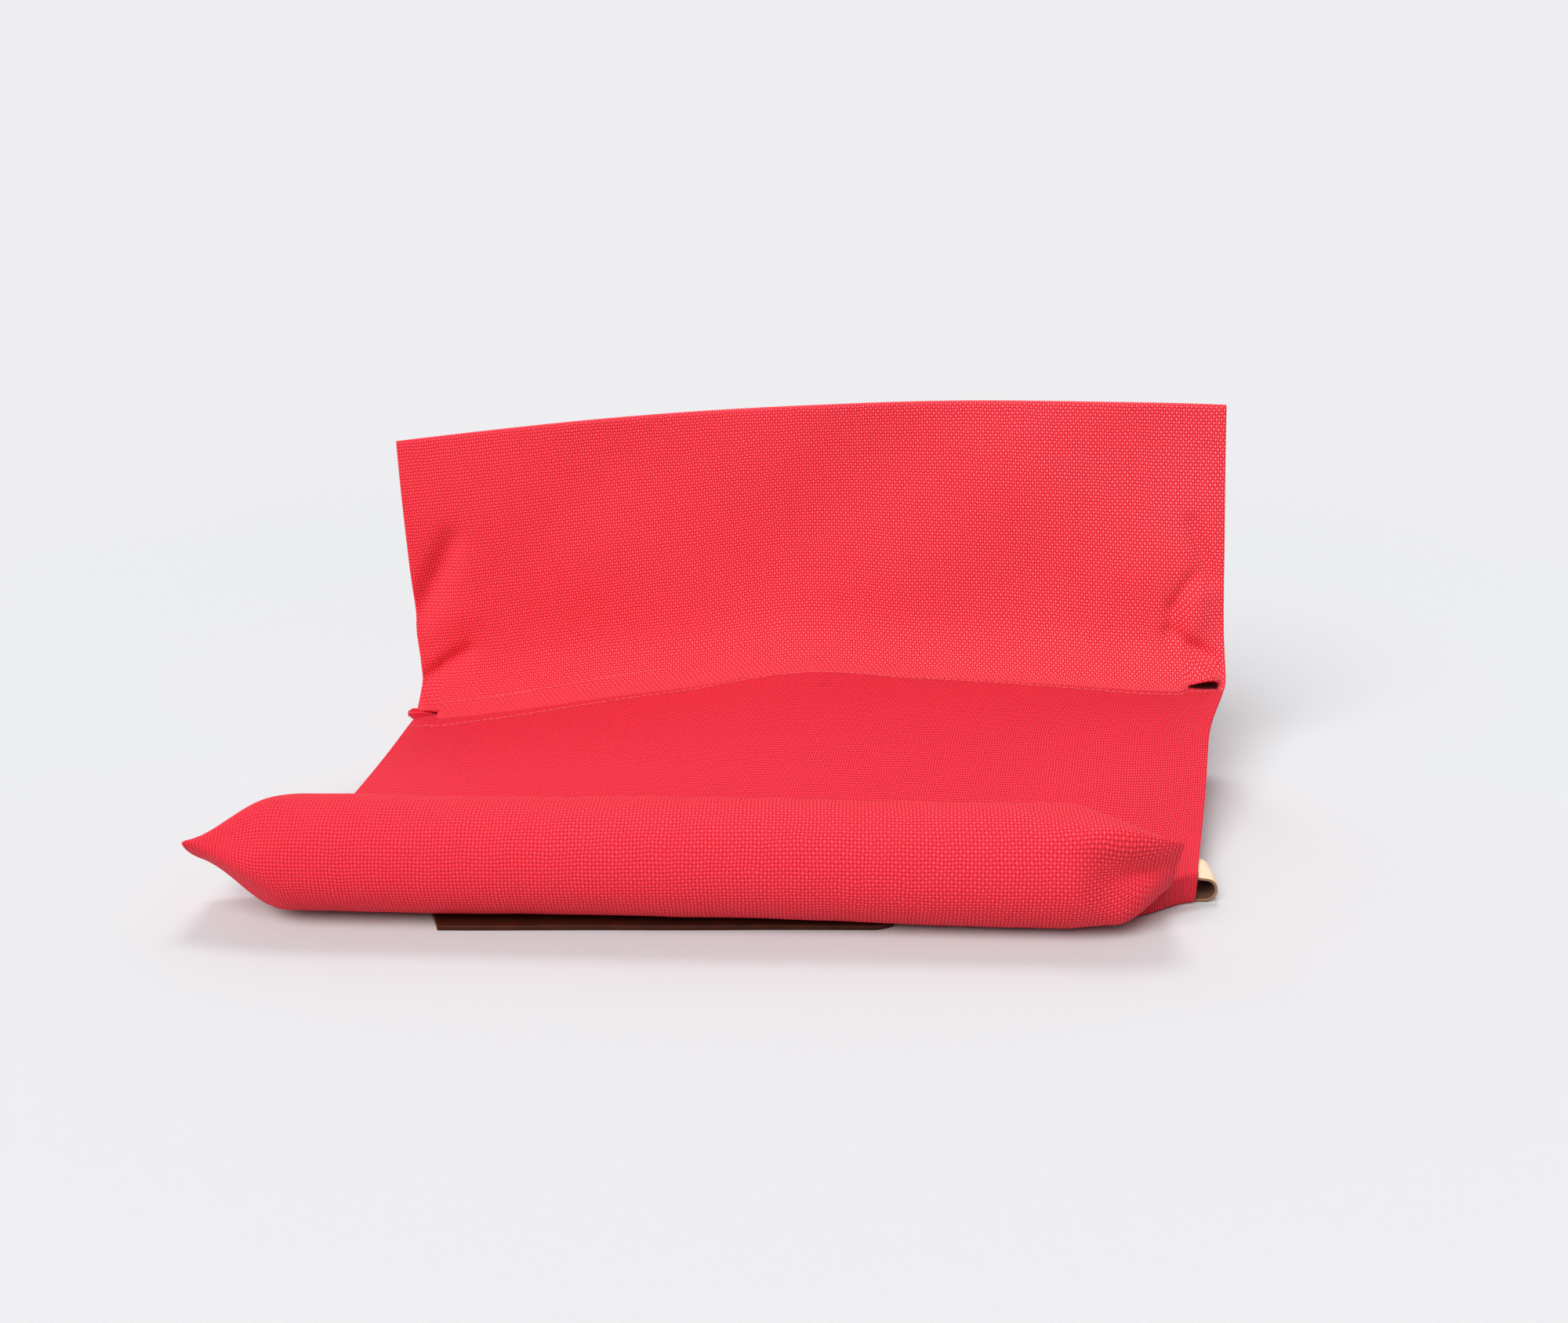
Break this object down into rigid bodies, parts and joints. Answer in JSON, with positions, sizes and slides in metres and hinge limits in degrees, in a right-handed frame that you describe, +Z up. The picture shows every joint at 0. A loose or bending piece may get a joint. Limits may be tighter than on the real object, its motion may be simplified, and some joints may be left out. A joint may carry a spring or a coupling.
{
  "type": "padded fold-up fabric rest",
  "caption": "Fold-up canvas rest: a padded wedge base with a hinged upright back flap, a stuffed front bolster, a riveted leather strap and a leather side loop.",
  "frame": {"origin": "the middle of the underside of the whole object, on the surface that it lies on", "axes": "+X along the crease and the bolster, to the right as seen from the front; -Y to the front, where the bolster lies; +Z up"},
  "size_m": [0.3112, 0.1538, 0.1241],
  "materials": {
    "red_canvas": "matte plain weave",
    "deep_red_canvas": "matte plain weave",
    "foam_filling": "soft filling",
    "stiffener_board": "raw board",
    "tan_leather": "smooth, undyed",
    "brown_leather": "smooth, oiled",
    "pink_thread": "twisted thread",
    "brass_rivet": "satin"
  },
  "bodies": {
    "base": {"base_top_fabric": "red_canvas", "base_underside_fabric": "deep_red_canvas", "base_left_gusset": "deep_red_canvas", "base_right_gusset": "deep_red_canvas", "base_rear_fabric": "deep_red_canvas", "base_front_fabric": "deep_red_canvas", "base_wedge_foam": "foam_filling", "hinge_tuck": "red_canvas", "hinge_stitching_lower": "pink_thread", "bolster_stitching": "pink_thread", "side_loop": "tan_leather"},
    "back_flap": {"flap_front_fabric": "red_canvas", "flap_rear_fabric": "deep_red_canvas", "flap_stiffener": "stiffener_board", "hinge_stitching_upper": "pink_thread"},
    "bolster": {"bolster_cover": "red_canvas", "bolster_filling": "foam_filling", "bolster_left_seam": "deep_red_canvas", "bolster_right_seam": "deep_red_canvas", "strap_rivet": "brass_rivet"},
    "closure_strap": {"closure_strap": "brown_leather"}
  },
  "joints": [
    {"name": "flap_fold", "type": "hinge", "parent": "base", "child": "back_flap", "pos_m": [-0.11756, 0.06113, 0.015], "axis": [-0.9987, 0, -0.0512], "range_deg": [-75, 85]},
    {"name": "bolster_roll", "type": "hinge", "parent": "base", "child": "bolster", "pos_m": [-0.01756, -0.04017, 0.008], "axis": [-1, 0, 0], "range_deg": [0, 75]},
    {"name": "strap_swing", "type": "hinge", "parent": "bolster", "child": "closure_strap", "pos_m": [0.04044, -0.05837, 0], "axis": [0, 0, 1], "range_deg": [0, 100]}
  ]
}
